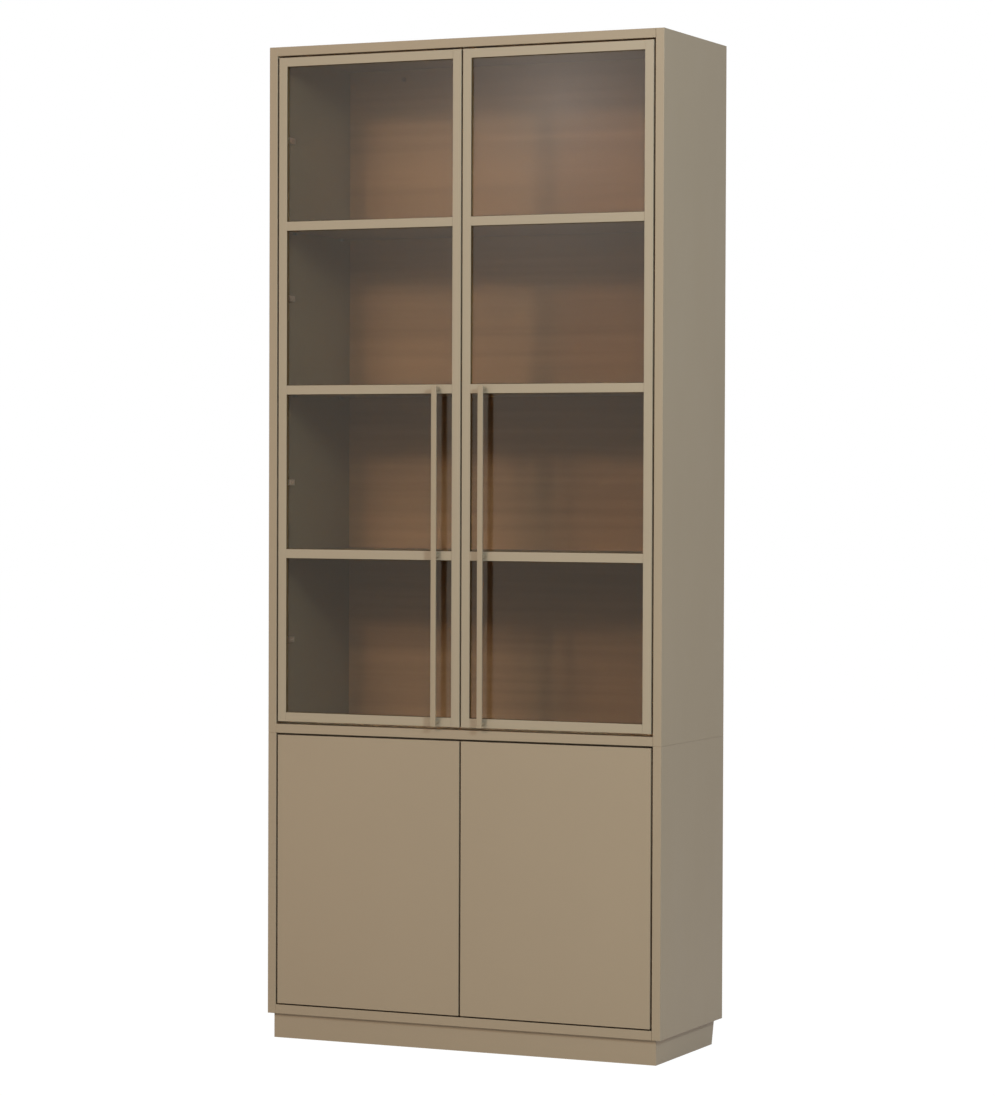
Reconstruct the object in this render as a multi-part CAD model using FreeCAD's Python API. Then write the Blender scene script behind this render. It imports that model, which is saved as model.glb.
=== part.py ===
import FreeCAD, Part
import os

# Tall display cabinet in two stacked units on a set-back plinth.  The upper unit has two
# glazed doors with four panes each and a long bar handle; the base unit has two plain
# doors on push latches.  All doors are hinged and lie flush inside the carcass.
#
# Millimetres.  X runs to the right, Y from the front to the back, Z up from the floor.
# The origin is on the floor, in the middle of the width and of the depth over the handles.

Vector = FreeCAD.Vector

# ---------------------------------------------------------------- carcass
overall_width = 900.0
overall_height = 2100.0
carcass_depth = 350.0
base_height = 649.0            # floor to the seam between the two units
board = 19.0                   # sides, tops and bottoms
back_board = 8.0
back_rebate = 9.0              # how far the back panel reaches into each side
edge_easing = 0.8              # radius on the arrises that show
side_easing = 1.5              # radius on the upright arrises of the sides
overcut = 1.0                  # how far a cutting shape runs past the face it opens

# ---------------------------------------------------------------- plinth
plinth_height = 52.0
plinth_board = 16.0
plinth_side_inset = 12.0
plinth_front_inset = 8.0
plinth_rear_inset_top = 17.0   # the rear ends of the plinth are raked forward
plinth_rear_inset_floor = 30.0
corner_block = 34.0
foot_disc_radius = 14.0
foot_disc_height = 6.0
foot_stem_radius = 4.0
foot_stem_clearance = 0.3
foot_top_gap = 1.0

# ---------------------------------------------------------------- shelves
shelf_board = 16.0
shelf_drop = 2.5               # shelf top below the top of the muntin in front of it
shelf_end_gap = 1.0
shelf_rear_gap = 2.0
shelf_front_setback = 31.0
base_shelf_height = 359.0      # top of the shelf above the floor
support_stem_radius = 2.5
support_stem_depth = 9.0
support_seat_length = 8.0
support_seat_width = 7.0
support_inset = 45.0           # from the shelf's front and rear edges
hole_clearance = 0.05

# ---------------------------------------------------------------- doors
side_reveal = 4.0              # gap between a door and the carcass side
meeting_gap = 4.0              # gap between the two doors of a pair
upper_top_reveal = 4.0
upper_bottom_reveal = 6.0
base_top_reveal = 4.0
base_bottom_reveal = 3.0
frame_width = 19.0             # sight width of stiles, rails and muntins
frame_depth = 20.0
glass_recess = 6.0             # face of the frame to face of the glass
glass_thickness = 4.0
glass_bite = 8.0               # how far the glass reaches behind the frame
rebate_width = 9.0
bead_width = 4.0
bead_depth = 6.0
bead_clearance = 0.4           # bead to the wall of the rebate
muntin_count = 3
tenon_length = 6.0
tenon_thickness = 6.0
tenon_shoulder = 3.0
tenon_clearance = 0.1
muntin_tenon = 3.0
slab_thickness = 19.0
door_stop_gap = 2.0            # back of a base door to the edge of the panel behind it

# ---------------------------------------------------------------- bar handles
handle_projection = 21.0
handle_width = 12.0
handle_thickness = 4.0
handle_end_below = 8.5         # bar past the middle of the lowest post
handle_end_above = 6.5         # bar past the middle of the highest post
handle_offset = 51.0           # bar centre from the meeting edge of the door
handle_easing = 1.2
post_radius = 4.5
post_collar_radius = 5.5
post_collar_height = 1.5
post_spigot_radius = 2.0
post_spigot_length = 2.5
post_stud_length = 4.5

# ---------------------------------------------------------------- concealed hinges
upper_hinge_inner = 195.5      # inner pair, from the middle of the upper door
upper_hinge_outer = 530.5      # outer pair
base_hinge_inset = 90.0        # from the ends of the base door
hinge_screw_spacing = 32.0
plate_screw_setback = 37.0     # front screw, from the front of the carcass
plate_margin = 5.0             # plate past the middle of each screw
plate_thickness = 2.0
rib_half_width = 4.5
rib_height = 9.0
rib_front = 46.0
rib_rear = 61.0
arm_wall = 1.2
arm_side_clearance = 0.3
arm_rear = 64.5
arm_foot = 3.0                 # underside of the arm above the side panel
arm_crank = 4.0                # length of the slope between nose and back
nose_front = 30.0
nose_rear = 40.0
nose_height = 7.5              # from the underside of the nose to its top
upper_nose_rise = 6.5          # underside of the nose above the side panel
base_nose_rise = 14.0
adjuster_radius = 2.6
adjuster_height = 1.0
adjuster_front = 50.0
adjuster_rear = 59.5
screw_hole_radius = 1.9
hinge_pin_radius = 1.2
cup_wall = 1.2

# narrow cup screwed to the back of a framed door
block_plate_thickness = 1.5
block_plate_length = 44.0
block_plate_inset = 0.8        # from the edge of the door
block_plate_width = 9.0
block_cup_inset = 1.6
block_cup_width = 8.0
block_cup_length = 12.0
block_cup_height = 7.0

# round cup sunk into a plain door
cup_radius = 17.5
cup_depth = 12.5
cup_setback = 22.5             # cup centre from the edge of the door
cup_clearance = 0.1
cup_flange_radius = 19.0
cup_flange_thickness = 1.2
cup_wing_length = 54.0
cup_wing_width = 13.0
cup_screw_spacing = 45.0
cup_screw_offset = 8.0

# ---------------------------------------------------------------- catches
catch_length = 40.0
catch_depth = 12.0
catch_height = 11.0
catch_offset = 44.0            # catch centre from the middle of the cabinet
strike_thickness = 1.5
strike_length = 36.0
strike_height = 15.0
strike_drop = 1.0              # below the top edge of the door
touch_gap = 0.3                # closed door's strike to the magnet or plunger it meets

latch_offset = 32.0            # push latch centre from the middle of the cabinet
latch_width = 12.0
latch_height = 14.0
latch_length = 74.0
plunger_radius = 3.0
plunger_clearance = 0.1
plunger_head_radius = 4.5
plunger_head_length = 2.4
plunger_length = 62.0
disc_strike_radius = 7.0
disc_strike_thickness = 1.0

# ---------------------------------------------------------------- carcass fittings
cam_radius = 7.5
cam_depth = 12.8
cam_setback = 34.0             # cam centre from the end of the panel
cam_edge_distance = 60.0       # from the front and rear edges of the panel
cam_clearance = 0.1
cam_bolt_radius = 2.9
cam_bolt_bore_clearance = 0.6
cam_bolt_anchor = 11.0         # length held in the side panel
cam_bolt_reach = 4.0           # how far the bolt head enters the cam
unit_bolt_radius = 3.0
unit_bolt_head_radius = 7.0
unit_bolt_head_height = 2.5
unit_bolt_side_inset = 60.0
unit_bolt_edge_inset = 85.0
unit_nut_radius = 4.5
unit_nut_length = 14.0
unit_nut_flange = 2.0
wall_hole_radius = 3.0
wall_hole_spacing = 600.0
wall_hole_drop = 40.0          # below the top of the upper unit

# ---------------------------------------------------------------- places worked out once
front = -(carcass_depth + handle_projection) / 2 + handle_projection
rear = front + carcass_depth
side_outer = overall_width / 2
side_inner = side_outer - board
back_face = rear - back_board
bottom_top = plinth_height + board
base_top_underside = base_height - board
base_top_front = front + slab_thickness + door_stop_gap
upper_floor = base_height + board
upper_ceiling = overall_height - board

hinge_edge = side_inner - side_reveal          # outer edge of every door, from the middle
meeting_edge = meeting_gap / 2
upper_door_bottom = upper_floor + upper_bottom_reveal
upper_door_top = upper_ceiling - upper_top_reveal
base_door_bottom = bottom_top + base_bottom_reveal
base_door_top = base_height - base_top_reveal
upper_door_middle = (upper_door_bottom + upper_door_top) / 2
upper_door_height = upper_door_top - upper_door_bottom
pane_height = (upper_door_height - (muntin_count + 2) * frame_width) / (muntin_count + 1)
frame_back = front + frame_depth
glass_front = front + glass_recess
glass_back = glass_front + glass_thickness
slab_back = front + slab_thickness
frame_heart = frame_width - rebate_width       # full-depth part of a stile or rail
handle_centre = meeting_edge + handle_offset
bar_front = front - handle_projection
bar_back = bar_front + handle_thickness

muntin_bottoms = [upper_door_bottom + frame_width + pane_height
                  + index * (pane_height + frame_width) for index in range(muntin_count)]
upper_shelf_tops = [bottom + frame_width - shelf_drop for bottom in muntin_bottoms]
upper_hinge_heights = [upper_door_middle + side * distance
                       for distance in (upper_hinge_inner, upper_hinge_outer)
                       for side in (-1, 1)]
base_hinge_heights = [base_door_bottom + base_hinge_inset, base_door_top - base_hinge_inset]
# the bar stands on the bottom rail and on the lower two muntins
post_heights = [upper_door_bottom + frame_width / 2,
                muntin_bottoms[0] + frame_width / 2,
                muntin_bottoms[1] + frame_width / 2]
bar_bottom = post_heights[0] - handle_end_below
bar_top = post_heights[-1] + handle_end_above


# ---------------------------------------------------------------- building blocks
def block(x_range, y_range, z_range):
    """A box between two values on each axis, given in either order."""
    low = Vector(min(x_range), min(y_range), min(z_range))
    high = Vector(max(x_range), max(y_range), max(z_range))
    size = high - low
    return Part.makeBox(size.x, size.y, size.z, low)


def rod(radius, start, end):
    """A round rod between two points."""
    start, end = Vector(*start), Vector(*end)
    return Part.makeCylinder(radius, (end - start).Length, start, end - start)


def prism(points, run):
    """A closed outline of points, extruded along the vector run."""
    corners = [Vector(*point) for point in points]
    outline = Part.makePolygon(corners + corners[:1])
    return Part.Face(outline).extrude(Vector(*run))


def joined(shapes):
    """One solid from touching or overlapping solids."""
    whole = shapes[0].multiFuse(shapes[1:]) if len(shapes) > 1 else shapes[0]
    return whole.removeSplitter()


def without(shape, tools):
    """The shape with every tool cut from it."""
    return shape.cut(Part.makeCompound(tools)) if tools else shape


def eased(shape, axis, places, radius=edge_easing):
    """Rounds the straight edges that run along axis through the places (x, y, z).

    None in a place leaves that coordinate free.
    """
    chosen = []
    for edge in shape.Edges:
        start, end = edge.Vertexes[0].Point, edge.Vertexes[-1].Point
        run = end - start
        if abs(run[axis]) < 0.999 * run.Length:
            continue
        middle = (start + end) * 0.5
        for place in places:
            if all(want is None or abs(middle[i] - want) < 1e-4
                   for i, want in enumerate(place)):
                chosen.append(edge)
                break
    return shape.makeFillet(radius, chosen)


def mirrored(shape):
    """The same shape on the other side of the cabinet's middle plane."""
    return shape.mirror(Vector(0, 0, 0), Vector(1, 0, 0))


def both_sides(shapes):
    """A list of left-hand shapes followed by their right-hand twins."""
    return shapes + [mirrored(shape) for shape in shapes]


nodes = {}


def keep(name, shape):
    """Stores a node: one solid, or a list of separate solids."""
    nodes[name] = Part.makeCompound(shape) if isinstance(shape, list) else shape


# ---------------------------------------------------------------- cam joints
class CamJoint:
    """A cam disc in a panel's hidden face and the bolt from the side that it draws in.

    It stands at the left end of the panel; the right end is its mirror image.
    """

    def __init__(self, y, panel_bottom, hidden_face_up):
        centre_x = -(side_inner - cam_setback)
        bolt_z = panel_bottom + board / 2
        mouth = panel_bottom + (board if hidden_face_up else 0)
        inward = -1 if hidden_face_up else 1
        floor = mouth + inward * cam_depth
        bolt_start = (-(side_inner + cam_bolt_anchor), y, bolt_z)
        bolt_end = (centre_x - cam_radius + cam_bolt_reach, y, bolt_z)
        self.bolt = rod(cam_bolt_radius, bolt_start, bolt_end)
        bore = rod(cam_bolt_radius + cam_bolt_bore_clearance,
                   (-side_inner - overcut, y, bolt_z), (centre_x, y, bolt_z))
        recess = rod(cam_radius + cam_clearance, (centre_x, y, mouth - inward * overcut),
                     (centre_x, y, floor))
        head_room = rod(cam_bolt_radius + hole_clearance, bolt_start,
                        (bolt_end[0] + hole_clearance, y, bolt_z))
        disc = rod(cam_radius, (centre_x, y, mouth), (centre_x, y, floor))
        self.disc = without(disc, [head_room])
        self.panel_cuts = [recess, bore]
        self.side_cut = rod(cam_bolt_radius + hole_clearance, bolt_start,
                            (-side_inner + overcut, y, bolt_z))


def cam_joints(panel_front, panel_bottom, hidden_face_up):
    """The front and rear cam joints at the left end of one panel."""
    places = (panel_front + cam_edge_distance, back_face - cam_edge_distance)
    return [CamJoint(y, panel_bottom, hidden_face_up) for y in places]


base_bottom_cams = cam_joints(front, plinth_height, False)
base_top_cams = cam_joints(base_top_front, base_top_underside, True)
upper_bottom_cams = cam_joints(front, base_height, False)
upper_top_cams = cam_joints(front, upper_ceiling, True)


def make_cam_fittings():
    joints = base_bottom_cams + base_top_cams + upper_bottom_cams + upper_top_cams
    keep("cam_discs", both_sides([joint.disc for joint in joints]))
    keep("cam_bolts", both_sides([joint.bolt for joint in joints]))


# ---------------------------------------------------------------- shelf supports
def support_places(shelf_top):
    """Y and Z of the front and rear supports under one shelf."""
    stem_z = shelf_top - shelf_board - support_stem_radius
    shelf_front = front + shelf_front_setback
    shelf_rear = back_face - shelf_rear_gap
    return [(shelf_front + support_inset, stem_z), (shelf_rear - support_inset, stem_z)]


def shelf_support(y, z):
    """A steel stem in the left side with a flat seat that the shelf rests on."""
    stem = rod(support_stem_radius, (-side_inner - support_stem_depth, y, z),
               (-side_inner + overcut, y, z))
    seat = block((-side_inner, -side_inner + support_seat_length),
                 (y - support_seat_width / 2, y + support_seat_width / 2),
                 (z - support_stem_radius, z + support_stem_radius))
    return joined([stem, seat])


def support_hole(y, z):
    return rod(support_stem_radius + hole_clearance,
               (-side_inner - support_stem_depth - hole_clearance, y, z),
               (-side_inner + overcut, y, z))


def make_shelves():
    length = (-(side_inner - shelf_end_gap), side_inner - shelf_end_gap)
    depth = (front + shelf_front_setback, back_face - shelf_rear_gap)
    names = ["upper_shelf_low", "upper_shelf_middle", "upper_shelf_high"]
    tops = dict(zip(names, upper_shelf_tops))
    tops["base_shelf"] = base_shelf_height
    supports = []
    for name, top in tops.items():
        shelf = block(length, depth, (top - shelf_board, top))
        front_edges = [(None, depth[0], top), (None, depth[0], top - shelf_board)]
        keep(name, eased(shelf, 0, front_edges))
        supports += [shelf_support(y, z) for y, z in support_places(top)]
    keep("shelf_supports", both_sides(supports))


# ---------------------------------------------------------------- concealed hinges
def hinge_point(u, v, w, height):
    """A point of a left-hand hinge: u from the side, v behind the front, w above centre."""
    return (-side_inner + u, front + v, height + w)


def hinge_block(u_range, v_range, w_range, height):
    low = hinge_point(u_range[0], v_range[0], w_range[0], height)
    high = hinge_point(u_range[1], v_range[1], w_range[1], height)
    return block((low[0], high[0]), (low[1], high[1]), (low[2], high[2]))


def hinge_rod(radius, start, end, height):
    return rod(radius, hinge_point(*start, height), hinge_point(*end, height))


def screw_levels(spacing):
    return (-spacing / 2, spacing / 2)


def mounting_plate(height):
    """The plate on the side panel, and the rib that carries the arm between its screws."""
    half_width = rib_half_width + arm_side_clearance + arm_wall
    screws = (plate_screw_setback, plate_screw_setback + hinge_screw_spacing)
    plate = hinge_block((0, plate_thickness), (screws[0] - plate_margin, screws[1] + plate_margin),
                        (-half_width, half_width), height)
    rib = hinge_block((0, rib_height), (rib_front, rib_rear),
                      (-rib_half_width, rib_half_width), height)
    holes = [hinge_rod(screw_hole_radius, (-overcut, v, 0),
                       (plate_thickness + overcut, v, 0), height) for v in screws]
    return without(joined([plate, rib]), holes)


def arm_outline(nose_rise, inset):
    """Side view of the cranked arm in u and v, drawn inset from its outer faces."""
    back = rib_height + arm_wall - inset
    nose_top = nose_rise + nose_height - inset
    crank_rear = nose_rear + arm_crank
    return [(arm_foot - inset, arm_rear + inset),
            (back, arm_rear + inset),
            (back, crank_rear),
            (nose_top, nose_rear),
            (nose_top, nose_front + inset),
            (nose_rise - inset, nose_front + inset),
            (nose_rise - inset, nose_rear - arm_wall),
            (arm_foot - inset, crank_rear - arm_wall)]


def hinge_arm(height, nose_rise):
    """A cranked steel channel, open towards the side, that sits over the plate's rib."""
    half_width = rib_half_width + arm_side_clearance + arm_wall

    def extruded(inset, half):
        points = [hinge_point(u, v, -half, height) for u, v in arm_outline(nose_rise, inset)]
        return prism(points, (0, 0, 2 * half))

    shell = extruded(0, half_width).cut(extruded(arm_wall, half_width - arm_wall))
    web = rib_height + arm_wall
    adjusters = [hinge_rod(adjuster_radius, (web, v, 0), (web + adjuster_height, v, 0), height)
                 for v in (adjuster_front, adjuster_rear)]
    return joined([shell] + adjusters)


def narrow_cup(height):
    """The cup of a framed door: a plate on the back of the stile with an open housing."""
    edge = side_reveal
    plate_u = (edge + block_plate_inset, edge + block_plate_inset + block_plate_width)
    plate_v = (frame_depth, frame_depth + block_plate_thickness)
    half_plate = block_plate_length / 2
    plate = hinge_block(plate_u, plate_v, (-half_plate, half_plate), height)
    cup_u = (edge + block_cup_inset, edge + block_cup_inset + block_cup_width)
    cup_v = (plate_v[1], plate_v[1] + block_cup_height)
    half_cup = block_cup_length / 2
    housing = hinge_block(cup_u, cup_v, (-half_cup, half_cup), height)
    hollow = hinge_block((cup_u[0] + cup_wall, cup_u[1] - cup_wall),
                         (cup_v[0], cup_v[1] + overcut),
                         (-half_cup + cup_wall, half_cup - cup_wall), height)
    pin_v = (cup_v[0] + cup_v[1]) / 2
    pins = [hinge_rod(hinge_pin_radius, (u, pin_v, -half_cup + cup_wall / 2),
                      (u, pin_v, half_cup - cup_wall / 2), height)
            for u in (cup_u[0] + block_cup_width / 3, cup_u[1] - block_cup_width / 3)]
    screw_u = (plate_u[0] + plate_u[1]) / 2
    holes = [hinge_rod(screw_hole_radius, (screw_u, plate_v[0] - overcut, w),
                       (screw_u, plate_v[1] + overcut, w), height)
             for w in screw_levels(hinge_screw_spacing)]
    return joined([without(plate, holes), housing.cut(hollow)] + pins)


def round_cup(height):
    """The cup of a plain door: a drawn steel cup in its bore, with a screwed flange."""
    centre_u = side_reveal + cup_setback
    mouth = slab_thickness
    floor = mouth - cup_depth + cup_clearance
    shell = hinge_rod(cup_radius - cup_clearance, (centre_u, floor, 0),
                      (centre_u, mouth, 0), height)
    rim_v = mouth + cup_flange_thickness
    flange = hinge_rod(cup_flange_radius, (centre_u, mouth, 0), (centre_u, rim_v, 0), height)
    half_wing = cup_wing_length / 2
    wing = hinge_block((centre_u, centre_u + cup_wing_width), (mouth, rim_v),
                       (-half_wing, half_wing), height)
    inner_radius = cup_radius - cup_clearance - cup_wall
    hollow = hinge_rod(inner_radius, (centre_u, floor + cup_wall, 0),
                       (centre_u, rim_v + overcut, 0), height)
    pins = []
    for offset in (-inner_radius / 2, 0):
        half = (inner_radius ** 2 - offset ** 2) ** 0.5 + cup_wall / 2
        pin_v = mouth - cup_depth / 2
        pins.append(hinge_rod(hinge_pin_radius, (centre_u + offset, pin_v, -half),
                              (centre_u + offset, pin_v, half), height))
    screw_u = centre_u + cup_screw_offset
    holes = [hinge_rod(screw_hole_radius, (screw_u, mouth - overcut, w),
                       (screw_u, rim_v + overcut, w), height)
             for w in screw_levels(cup_screw_spacing)]
    return joined([without(joined([shell, flange, wing]), [hollow] + holes)] + pins)


def cup_bore(height):
    centre_u = side_reveal + cup_setback
    return hinge_rod(cup_radius, (centre_u, slab_thickness - cup_depth, 0),
                     (centre_u, slab_thickness + overcut, 0), height)


def make_carcass_hinge_parts():
    plates = [mounting_plate(height) for height in upper_hinge_heights + base_hinge_heights]
    arms = [hinge_arm(height, upper_nose_rise) for height in upper_hinge_heights]
    arms += [hinge_arm(height, base_nose_rise) for height in base_hinge_heights]
    keep("hinge_plates", both_sides(plates))
    keep("hinge_arms", both_sides(arms))


# ---------------------------------------------------------------- carcass
def side_panel(bottom, top, cams, shelf_tops):
    """A left side with its rebate for the back and the holes for its fittings."""
    panel = block((-side_outer, -side_inner), (front, rear), (bottom, top))
    uprights = [(-side_outer, front, None), (-side_inner, front, None), (-side_outer, rear, None)]
    panel = eased(panel, 2, uprights, side_easing)
    panel = eased(panel, 1, [(-side_outer, None, bottom), (-side_outer, None, top)])
    cuts = [block((-side_inner - back_rebate, -side_inner + overcut),
                  (back_face, rear + overcut), (bottom - overcut, top + overcut))]
    cuts += [cam.side_cut for cam in cams]
    cuts += [support_hole(y, z) for shelf_top in shelf_tops
             for y, z in support_places(shelf_top)]
    return without(panel, cuts)


def cross_panel(panel_front, bottom, cams, extra_cuts=()):
    """A top or bottom panel between the sides, in front of the back panel."""
    panel = block((-side_inner, side_inner), (panel_front, back_face), (bottom, bottom + board))
    panel = eased(panel, 0, [(None, panel_front, bottom), (None, panel_front, bottom + board)])
    cuts = [cut for cam in cams for cut in both_sides(cam.panel_cuts)]
    return without(panel, cuts + list(extra_cuts))


def back_panel(bottom, top, holes=()):
    """A thin back let into the rebates of both sides."""
    reach = side_inner + back_rebate
    panel = block((-reach, reach), (back_face, rear), (bottom, top))
    return without(panel, list(holes))


def unit_bolt_places():
    x = side_inner - unit_bolt_side_inset
    rows = (front + unit_bolt_edge_inset, back_face - unit_bolt_edge_inset)
    return [(side * x, y) for side in (-1, 1) for y in rows]


def make_unit_bolts():
    """Four bolts and sleeve nuts that hold the upper unit down on the base."""
    bolts = []
    nuts = []
    nut_top = base_top_underside + unit_nut_length
    for x, y in unit_bolt_places():
        shank = rod(unit_bolt_radius, (x, y, base_top_underside), (x, y, upper_floor))
        head = rod(unit_bolt_head_radius, (x, y, upper_floor),
                   (x, y, upper_floor + unit_bolt_head_height))
        bolts.append(joined([shank, head]))
        sleeve = rod(unit_nut_radius, (x, y, base_top_underside), (x, y, nut_top))
        flange = rod(unit_bolt_head_radius, (x, y, base_top_underside - unit_nut_flange),
                     (x, y, base_top_underside))
        bore = rod(unit_bolt_radius + hole_clearance, (x, y, base_top_underside),
                   (x, y, nut_top + overcut))
        nuts.append(joined([sleeve, flange]).cut(bore))
    keep("unit_bolts", bolts)
    keep("unit_nuts", nuts)


def make_carcass():
    base_side = side_panel(plinth_height, base_height, base_bottom_cams + base_top_cams,
                           [base_shelf_height])
    upper_side = side_panel(base_height, overall_height, upper_bottom_cams + upper_top_cams,
                            upper_shelf_tops)
    keep("base_side_left", base_side)
    keep("base_side_right", mirrored(base_side))
    keep("upper_side_left", upper_side)
    keep("upper_side_right", mirrored(upper_side))

    bolt_radius = unit_bolt_radius + hole_clearance
    upper_bolt_holes = [rod(bolt_radius, (x, y, base_height - overcut),
                            (x, y, upper_floor + overcut))
                        for x, y in unit_bolt_places()]
    nut_top = base_top_underside + unit_nut_length
    base_bolt_holes = []
    for x, y in unit_bolt_places():
        base_bolt_holes.append(rod(bolt_radius, (x, y, nut_top - overcut),
                                   (x, y, base_height + overcut)))
        base_bolt_holes.append(rod(unit_nut_radius + hole_clearance,
                                   (x, y, base_top_underside - overcut),
                                   (x, y, nut_top)))
    keep("base_bottom_panel", cross_panel(front, plinth_height, base_bottom_cams))
    keep("base_top_panel",
         cross_panel(base_top_front, base_top_underside, base_top_cams, base_bolt_holes))
    keep("upper_bottom_panel",
         cross_panel(front, base_height, upper_bottom_cams, upper_bolt_holes))
    keep("upper_top_panel", cross_panel(front, upper_ceiling, upper_top_cams))

    wall_z = overall_height - wall_hole_drop
    wall_holes = [rod(wall_hole_radius, (side * wall_hole_spacing / 2, back_face - overcut, wall_z),
                      (side * wall_hole_spacing / 2, rear + overcut, wall_z))
                  for side in (-1, 1)]
    keep("base_back_panel", back_panel(plinth_height, base_height))
    keep("upper_back_panel", back_panel(base_height, overall_height, wall_holes))


# ---------------------------------------------------------------- plinth
def make_plinth():
    """A low frame set back all round, with corner blocks that carry levelling feet."""
    reach = side_outer - plinth_side_inset
    board_front = front + plinth_front_inset
    board_back = board_front + plinth_board
    front_board = block((-reach, reach), (board_front, board_back), (0, plinth_height))
    keep("plinth_front_board", eased(front_board, 2, [(-reach, board_front, None),
                                                      (reach, board_front, None)]))
    floor_rear = rear - plinth_rear_inset_floor
    top_rear = rear - plinth_rear_inset_top
    side_outline = [(-reach, board_back, 0), (-reach, floor_rear, 0),
                    (-reach, top_rear, plinth_height), (-reach, board_back, plinth_height)]
    side_board = prism(side_outline, (plinth_board, 0, 0))
    keep("plinth_side_left", side_board)
    keep("plinth_side_right", mirrored(side_board))
    inner = reach - plinth_board
    rear_front = floor_rear - plinth_board
    keep("plinth_rear_board", block((-inner, inner), (rear_front, floor_rear),
                                    (0, plinth_height)))

    blocks = []
    feet = []
    for y_range in ((board_back, board_back + corner_block),
                    (rear_front - corner_block, rear_front)):
        x = -(inner - corner_block / 2)
        y = (y_range[0] + y_range[1]) / 2
        under = foot_disc_height
        wood = block((-inner, -inner + corner_block), y_range, (under, plinth_height))
        hole = rod(foot_stem_radius + foot_stem_clearance, (x, y, under - overcut),
                   (x, y, plinth_height + overcut))
        blocks.append(wood.cut(hole))
        disc = rod(foot_disc_radius, (x, y, 0), (x, y, foot_disc_height))
        stem = rod(foot_stem_radius, (x, y, foot_disc_height), (x, y, plinth_height - foot_top_gap))
        feet.append(joined([disc, stem]))
    keep("plinth_corner_blocks", both_sides(blocks))
    keep("levelling_feet", both_sides(feet))


# ---------------------------------------------------------------- glazed doors
def stile(outer, inner, inward):
    """A rebated upright from the door's edge outer to the sight line inner.

    inward is the way in X from the edge to the panes.
    """
    z_range = (upper_door_bottom, upper_door_top)
    lip = block((outer, inner), (front, glass_front), z_range)
    heart = block((outer, outer + inward * frame_heart), (glass_front, frame_back), z_range)
    body = eased(joined([lip, heart]), 2, [(outer, front, None), (inner, front, None)])
    cuts = []
    for z_middle in (upper_door_bottom + frame_heart / 2, upper_door_top - frame_heart / 2):
        cuts.append(tenon(outer + inward * frame_heart, -inward, z_middle, tenon_clearance))
    for bottom in muntin_bottoms:
        cuts.append(muntin_end(inner, -inward, bottom, tenon_clearance))
    return without(body, cuts)


def tenon(shoulder, way, z_middle, clearance=0.0):
    """The tongue at the end of a rail, or with a clearance the mortise that takes it."""
    half = tenon_thickness / 2 + clearance
    v = frame_depth - tenon_shoulder
    return block((shoulder - way, shoulder + way * (tenon_length + clearance)),
                 (front + v - tenon_thickness - clearance, front + v + clearance),
                 (z_middle - half, z_middle + half))


def muntin_end(shoulder, way, bottom, clearance=0.0):
    """The small tongue at the end of a muntin, or with a clearance its mortise."""
    middle = bottom + frame_width / 2
    depth_middle = front + glass_recess / 2
    half = muntin_tenon / 2 + clearance
    return block((shoulder - way, shoulder + way * (muntin_tenon + clearance)),
                 (depth_middle - half, depth_middle + half),
                 (middle - 2 * half, middle + 2 * half))


def rail(left, right, outer_z, upward):
    """A rebated cross rail; left and right are the sight lines of the two stiles."""
    inner_z = outer_z + upward * frame_width
    heart_z = outer_z + upward * frame_heart
    lip = block((left, right), (front, glass_front), (outer_z, inner_z))
    heart = block((left - rebate_width, right + rebate_width), (glass_front, frame_back),
                  (outer_z, heart_z))
    body = eased(joined([lip, heart]), 0, [(None, front, outer_z), (None, front, inner_z)])
    middle = (outer_z + heart_z) / 2
    return joined([body, tenon(left - rebate_width, -1, middle),
                   tenon(right + rebate_width, 1, middle)])


def muntin(left, right, bottom):
    bar = block((left, right), (front, glass_front), (bottom, bottom + frame_width))
    bar = eased(bar, 0, [(None, front, bottom), (None, front, bottom + frame_width)])
    return joined([bar, muntin_end(left, -1, bottom), muntin_end(right, 1, bottom)])


def glazing_beads(left, right, low, high):
    """Four slim strips against the wall of the rebate that hold the glass from behind."""
    outer = rebate_width - bead_clearance
    inner = outer - bead_width
    depth = (glass_back, glass_back + bead_depth)
    uprights = [block((x + way * outer, x + way * inner), depth, (low - outer, high + outer))
                for x, way in ((left, -1), (right, 1))]
    crosses = [block((left - inner, right + inner), depth, (z + way * outer, z + way * inner))
               for z, way in ((low, -1), (high, 1))]
    return uprights + crosses


def stud_hole(x, z):
    """The blind hole in the face of the frame that takes a handle post's stud."""
    return rod(post_spigot_radius + hole_clearance, (x, front - overcut, z),
               (x, front + post_stud_length + hole_clearance, z))


def handle_post(x, z):
    """A turned post: stud into the frame, collar, shank, and spigot into the bar."""
    collar = rod(post_collar_radius, (x, front, z), (x, front - post_collar_height, z))
    shank = rod(post_radius, (x, front - post_collar_height, z), (x, bar_back, z))
    pin = rod(post_spigot_radius, (x, front + post_stud_length, z),
              (x, bar_back - post_spigot_length, z))
    return joined([collar, shank, pin])


def handle_bar(x):
    half = handle_width / 2
    bar = block((x - half, x + half), (bar_front, bar_back), (bar_bottom, bar_top))
    corners = [(x + side * half, y, None) for side in (-1, 1) for y in (bar_front, bar_back)]
    bar = eased(bar, 2, corners, handle_easing)
    holes = [rod(post_spigot_radius + hole_clearance, (x, bar_back + overcut, z),
                 (x, bar_back - post_spigot_length - hole_clearance, z))
             for z in post_heights]
    return without(bar, holes)


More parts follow.
